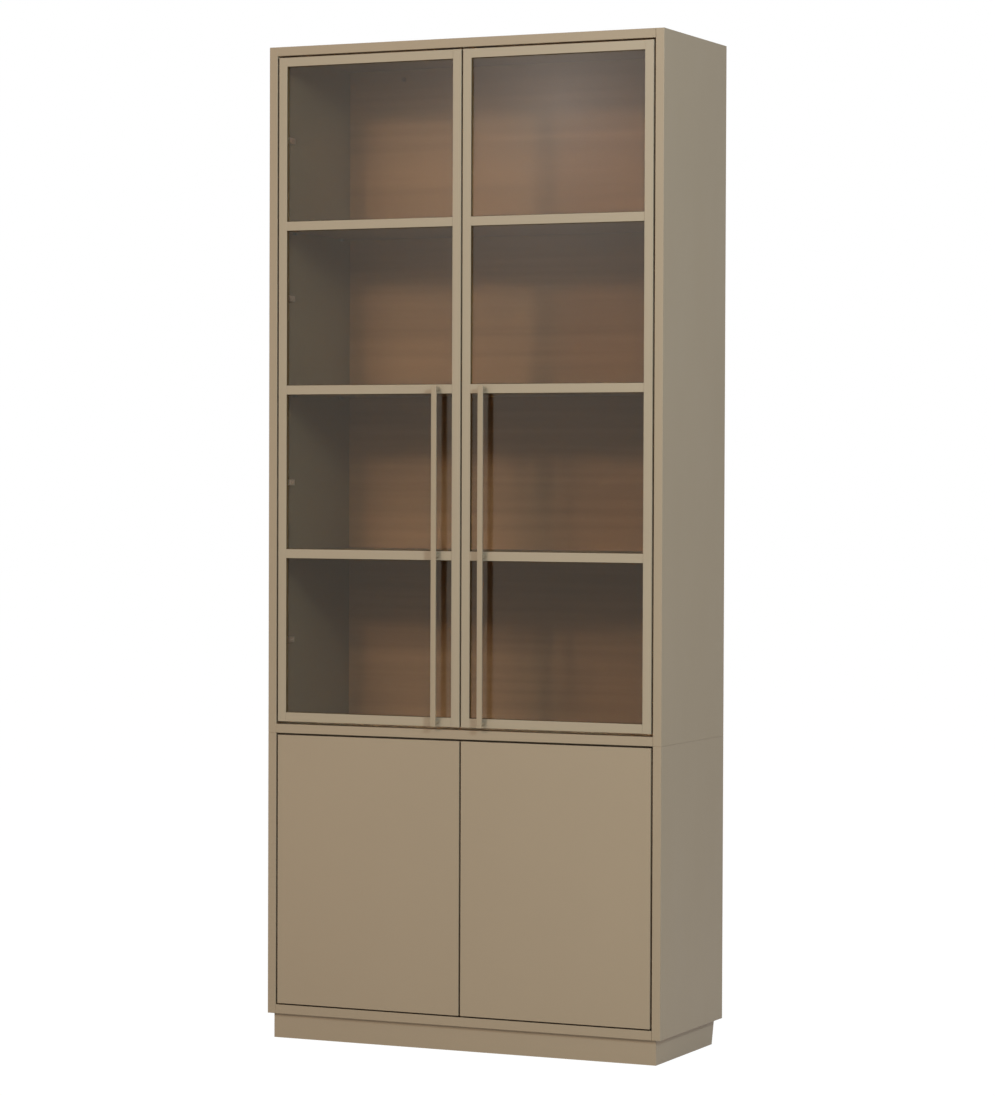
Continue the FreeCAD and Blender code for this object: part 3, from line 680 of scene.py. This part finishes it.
class CABINET_OT_finish_frames(bpy.types.Operator):
    """Coats the glazed doors' frames, muntins and glazing beads"""

    bl_idname = "cabinet.finish_frames"
    bl_label = "Coat the Door Frames"

    def execute(self, context):
        finishes = context.scene.cabinet_finishes
        coating = lacquer_material("frame_coating", finishes.coating,
                                   finishes.coating_roughness, clouds=0.03)
        dress(nodes_ending("stile", "rail", "muntins", "glass_beads"), coating)
        return {"FINISHED"}


class CABINET_OT_finish_handles(bpy.types.Operator):
    """Coats the bar handles and their posts"""

    bl_idname = "cabinet.finish_handles"
    bl_label = "Coat the Handles"

    def execute(self, context):
        finishes = context.scene.cabinet_finishes
        coating = lacquer_material("handle_coating", finishes.handle,
                                   finishes.coating_roughness - HANDLE_GLOSS, clouds=0.02)
        dress(nodes_ending("handle_bar", "handle_posts"), coating)
        return {"FINISHED"}


class CABINET_OT_finish_glass(bpy.types.Operator):
    """Tints the panes bronze, with a soft mirror image of the room"""

    bl_idname = "cabinet.finish_glass"
    bl_label = "Glaze the Doors"

    def execute(self, context):
        dress(nodes_ending("_glass"), glass_material(context.scene.cabinet_finishes))
        return {"FINISHED"}


class CABINET_OT_finish_backs(bpy.types.Operator):
    """Veneers the back panels with the grain lying across"""

    bl_idname = "cabinet.finish_backs"
    bl_label = "Veneer the Backs"

    def execute(self, context):
        finishes = context.scene.cabinet_finishes
        group = group_called("lying_veneer", veneer_group)
        values = {"Light": opaque(finishes.veneer_light),
                  "Dark": opaque(finishes.veneer_dark), "Roughness": 0.5}
        veneer = surfaced("back_veneer", group, values, {"Specular IOR Level": 0.06})
        dress(nodes_ending("back_panel"), veneer)
        return {"FINISHED"}


class CABINET_OT_finish_fittings(bpy.types.Operator):
    """Plates the steel fittings and colours the plastic ones"""

    bl_idname = "cabinet.finish_fittings"
    bl_label = "Finish the Fittings"

    def execute(self, context):
        finishes = context.scene.cabinet_finishes
        dress(nodes_ending("hinge_plates", "hinge_arms", "hinge_cups", "cam_discs",
                           "cam_bolts", "unit_bolts", "unit_nuts", "strike_plate",
                           "strike_disc"), steel_material())
        plastic = plastic_material("moulded_plastic", finishes.plastic, roughness=0.5)
        dress(nodes_ending("magnet_catches", "push_latch_housings", "plunger_left",
                           "plunger_right", "levelling_feet", "shelf_supports"), plastic)
        return {"FINISHED"}


class CABINET_OT_add_screws(bpy.types.Operator):
    """Sets the screws that hold the hinge plates and cups"""

    bl_idname = "cabinet.add_screws"
    bl_label = "Set the Hinge Screws"

    def execute(self, context):
        fittings = context.scene.cabinet_fittings
        steel = steel_material()
        radius, dome = fittings.screw_head / 2, fittings.screw_dome
        piece_from("plate_screws", screw_set(radius, dome, plate_screw_places()), steel,
                   BODIES["cabinet"])
        for unit in HINGE_HEIGHTS:
            for side, side_name in SIDES:
                door = unit + "_" + side_name
                heads = screw_set(radius * CUP_HEAD_WIDTH, dome * CUP_HEAD_HEIGHT,
                                  cup_screw_places(unit, side))
                piece_from(door + "_cup_screws", heads, steel, BODIES[door])
        return {"FINISHED"}


class CABINET_OT_add_seals(bpy.types.Operator):
    """Runs a fine bead of sealant round each pane, dark, so that it also paints the shade
    along the frames' inner edges
    """

    bl_idname = "cabinet.add_seals"
    bl_label = "Seal the Panes"

    def execute(self, context):
        finishes = context.scene.cabinet_finishes
        fittings = context.scene.cabinet_fittings
        # Real sealant whose dark colour also paints the shade along the frames' inner edges.
        sealant = plastic_material("pane_sealant_and_shade", finishes.seal_and_shade, roughness=0.7, shine=0.1)
        for _, side_name in SIDES:
            builder = seal_builder(side_name, fittings.seal_width, fittings.seal_height)
            piece_from("upper_" + side_name + "_pane_seals_and_shade", builder, sealant,
                       BODIES["upper_" + side_name])
        return {"FINISHED"}


class CABINET_OT_add_buffers(bpy.types.Operator):
    """Sticks clear buffers behind the free corners of the doors"""

    bl_idname = "cabinet.add_buffers"
    bl_label = "Add the Door Buffers"

    def execute(self, context):
        fittings = context.scene.cabinet_fittings
        clear = plastic_material("clear_buffer", CLEAR_PLASTIC, roughness=0.35)
        radius = fittings.buffer_size / 2
        for side, side_name in SIDES:
            builder = bmesh.new()
            low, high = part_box("base_" + side_name + "_door_panel")
            edge = high[0] if side < 0 else low[0]
            for height in (low[2] + BUFFER_LIFT, high[2] - BUFFER_DROP):
                soft_dome(builder, (edge + side * BUFFER_INSET, high[1], height), radius,
                          BUFFER_THICKNESS, way=1)
            face_outwards(builder)
            piece_from("base_" + side_name + "_buffers", builder, clear,
                       BODIES["base_" + side_name])
        return {"FINISHED"}


class CABINET_OT_add_caps(bpy.types.Operator):
    """Covers the wall fixing holes in the back with caps in the colour of the wood"""

    bl_idname = "cabinet.add_caps"
    bl_label = "Cap the Wall Fixings"

    def execute(self, context):
        dark = context.scene.cabinet_finishes.veneer_dark
        brown = plastic_material("brown_cap", [CAP_SHADE * channel for channel in dark],
                                 roughness=0.5)
        radius = context.scene.cabinet_fittings.cap_size / 2
        back_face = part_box("upper_back_panel")[0][1]
        builder = bmesh.new()
        for side in (-1, 1):
            centre = (side * WALL_FIXING[0], back_face, WALL_FIXING[1])
            soft_dome(builder, centre, radius, CAP_THICKNESS, way=-1)
        face_outwards(builder)
        piece_from("wall_fixing_caps", builder, brown, BODIES["cabinet"])
        return {"FINISHED"}


# ------------------------------------------------------------------ stage
KEY_PLACE = (-0.58, -5.46, 3.39)
KEY_SIZE = 0.55
FILL_PLACE = (3.05, -2.75, 2.60)
FILL_SIZE = 0.56
AIM = (0.0, -0.16, 1.3)
SENSOR_WIDTH = 36.0
FLOOR_HALF = 30.0
FLOOR_GLOW = 1.08
FLOOR_WHITE_SHARE = 0.9

# The screen's hot spot, and how far the cloth runs from it; it reaches down to the floor.
SCREEN_PLACE = (-1.92, -5.09, 2.51)
SCREEN_LEFT = 3.48
SCREEN_RIGHT = 3.52
SCREEN_RISE = 0.27


def add_lamp(name, position, size, power, colour):
    """A round lamp aimed at the cabinet, which does not show through the panes."""
    data = bpy.data.lights.new(name, "AREA")
    data.shape = "DISK"
    data.size = size
    data.energy = power
    data.color = colour
    lamp = placed(name, data)
    lamp.location = position
    way = Vector(AIM) - Vector(position)
    lamp.rotation_euler = way.to_track_quat("-Z", "Y").to_euler()
    lamp.visible_transmission = False


def first_surface(tree):
    """One until the light's path has left a matt surface, and zero from there on."""
    path = add_node(tree, "LightPath")
    return math_node(tree, "LESS_THAN", path.outputs["Diffuse Depth"], 0.5)


def seen_directly(tree):
    """One for what the camera sees, mirrored or through glass too, and no light beyond."""
    path = add_node(tree, "LightPath")
    seen = math_node(tree, "MAXIMUM", path.outputs["Is Camera Ray"],
                     path.outputs["Is Glossy Ray"])
    seen = math_node(tree, "MAXIMUM", seen, path.outputs["Is Transmission Ray"])
    return math_node(tree, "MULTIPLY", seen, first_surface(tree))


def set_world(surround):
    """A white room where it is seen, and an even, weaker light from all round."""
    world = bpy.data.worlds.new("studio")
    bpy.context.scene.world = world
    world.use_nodes = True
    tree = world.node_tree
    tree.nodes.clear()
    strength = math_node(tree, "MAXIMUM", seen_directly(tree), surround)
    background = add_node(tree, "Background", {"Color": WHITE, "Strength": strength})
    close_tree(tree, background, "OutputWorld")


def floor_material(colour):
    """A pale floor that looks white and keeps a trace of the cabinet's shadow."""
    material, tree = empty_material("pale_floor")
    matt = add_node(tree, "BsdfDiffuse", {"Color": opaque(colour)})
    white = add_node(tree, "Emission", {"Color": WHITE, "Strength": FLOOR_GLOW})
    share = math_node(tree, "MULTIPLY", seen_directly(tree), FLOOR_WHITE_SHARE)
    close_tree(tree, add_node(tree, "MixShader", {
        0: share, 1: matt.outputs[0], 2: white.outputs[0],
    }))
    return material


def add_floor(colour):
    """A plain floor at the cabinet's foot."""
    builder = bmesh.new()
    bmesh.ops.create_grid(builder, x_segments=8, y_segments=8, size=FLOOR_HALF)
    floor = placed("floor", mesh_from("floor", builder))
    floor.data.materials.append(floor_material(colour))


def screen_material(stage):
    """A lit cloth: an even glow, and a white hot spot at its own origin."""
    material, tree = empty_material("lit_screen")
    place = add_node(tree, "TexCoord").outputs["Object"]
    distance = add_node(tree, "VectorMath", {0: place}, {"operation": "LENGTH"})
    halvings = math_node(tree, "DIVIDE", distance.outputs["Value"], -stage.screen_fade)
    spot = math_node(tree, "MULTIPLY", math_node(tree, "POWER", 2.0, halvings),
                     stage.screen_glow)
    even = [stage.screen_base * channel for channel in stage.screen_colour]
    light = add_node(tree, "VectorMath", {0: spot, 1: even}, {"operation": "ADD"})
    close_tree(tree, add_node(tree, "Emission", {
        "Color": light.outputs[0], "Strength": first_surface(tree),
    }))
    return material


def add_screen(stage):
    """A screen in front on the left, which the panes and the lacquer mirror as a veil."""
    builder = bmesh.new()
    corners = [(-SCREEN_LEFT, 0, -SCREEN_PLACE[2]), (SCREEN_RIGHT, 0, -SCREEN_PLACE[2]),
               (SCREEN_RIGHT, 0, SCREEN_RISE), (-SCREEN_LEFT, 0, SCREEN_RISE)]
    builder.faces.new([builder.verts.new(corner) for corner in corners])
    screen = placed("screen", mesh_from("screen", builder))
    screen.data.materials.append(screen_material(stage))
    screen.location = SCREEN_PLACE
    screen.visible_camera = False
    screen.visible_diffuse = False
    screen.visible_shadow = False


def add_camera(stage):
    """The camera, turned by yaw, pitch and roll from looking along +Y."""
    yaw, pitch, roll = stage.camera_yaw, stage.camera_pitch, stage.camera_roll
    forward = Vector((-math.sin(yaw) * math.cos(pitch), math.cos(yaw) * math.cos(pitch),
                      math.sin(pitch)))
    right = Vector((math.cos(yaw), math.sin(yaw), 0.0))
    up = right.cross(forward)
    rolled_right = math.cos(roll) * right + math.sin(roll) * up
    rolled_up = math.cos(roll) * up - math.sin(roll) * right
    data = bpy.data.cameras.new("camera")
    data.lens = stage.camera_lens
    data.sensor_width = SENSOR_WIDTH
    camera = placed("camera", data)
    turned = Matrix((rolled_right, rolled_up, -forward)).transposed().to_4x4()
    camera.matrix_world = Matrix.Translation(Vector(stage.camera_position)) @ turned
    bpy.context.scene.camera = camera


class CABINET_OT_set_stage(bpy.types.Operator):
    """Sets up the camera, the lamps, the white room and the floor"""

    bl_idname = "cabinet.set_stage"
    bl_label = "Set the Stage"

    def execute(self, context):
        stage = context.scene.cabinet_stage
        context.scene.view_settings.view_transform = "Standard"
        add_camera(stage)
        set_world(stage.surround)
        add_lamp("key", KEY_PLACE, KEY_SIZE, stage.key_power, stage.key_colour)
        add_lamp("fill", FILL_PLACE, FILL_SIZE, stage.fill_power, stage.fill_colour)
        add_screen(stage)
        add_floor(stage.floor_colour)
        return {"FINISHED"}


# ------------------------------------------------------------------ panel
STEPS = [
    CABINET_OT_finish_boards,
    CABINET_OT_finish_frames,
    CABINET_OT_finish_handles,
    CABINET_OT_finish_glass,
    CABINET_OT_finish_backs,
    CABINET_OT_finish_fittings,
    CABINET_OT_add_screws,
    CABINET_OT_add_seals,
    CABINET_OT_add_buffers,
    CABINET_OT_add_caps,
    CABINET_OT_set_stage,
]
GROUPS = {
    "cabinet_finishes": CabinetFinishes,
    "cabinet_fittings": CabinetFittings,
    "cabinet_stage": CabinetStage,
}


class CABINET_PT_dressing(bpy.types.Panel):
    """Lists the steps that dress the cabinet, and their settings"""

    bl_idname = "CABINET_PT_dressing"
    bl_label = "Display Cabinet"
    bl_space_type = "VIEW_3D"
    bl_region_type = "UI"
    bl_category = "Cabinet"

    def draw(self, context):
        for step in STEPS:
            self.layout.operator(step.bl_idname)
        for attribute, group in GROUPS.items():
            box = self.layout.box()
            for name in group.__annotations__:
                box.prop(getattr(context.scene, attribute), name)


def register():
    for group in GROUPS.values():
        bpy.utils.register_class(group)
    for cls in [*STEPS, CABINET_PT_dressing]:
        bpy.utils.register_class(cls)
    for attribute, group in GROUPS.items():
        setattr(bpy.types.Scene, attribute, PointerProperty(type=group))


def unregister():
    for attribute in GROUPS:
        delattr(bpy.types.Scene, attribute)
    for cls in [CABINET_PT_dressing, *reversed(STEPS), *GROUPS.values()]:
        bpy.utils.unregister_class(cls)


def main():
    register()
    for step in STEPS:
        category, name = step.bl_idname.split(".")
        getattr(getattr(bpy.ops, category), name)()


if __name__ == "__main__":
    main()
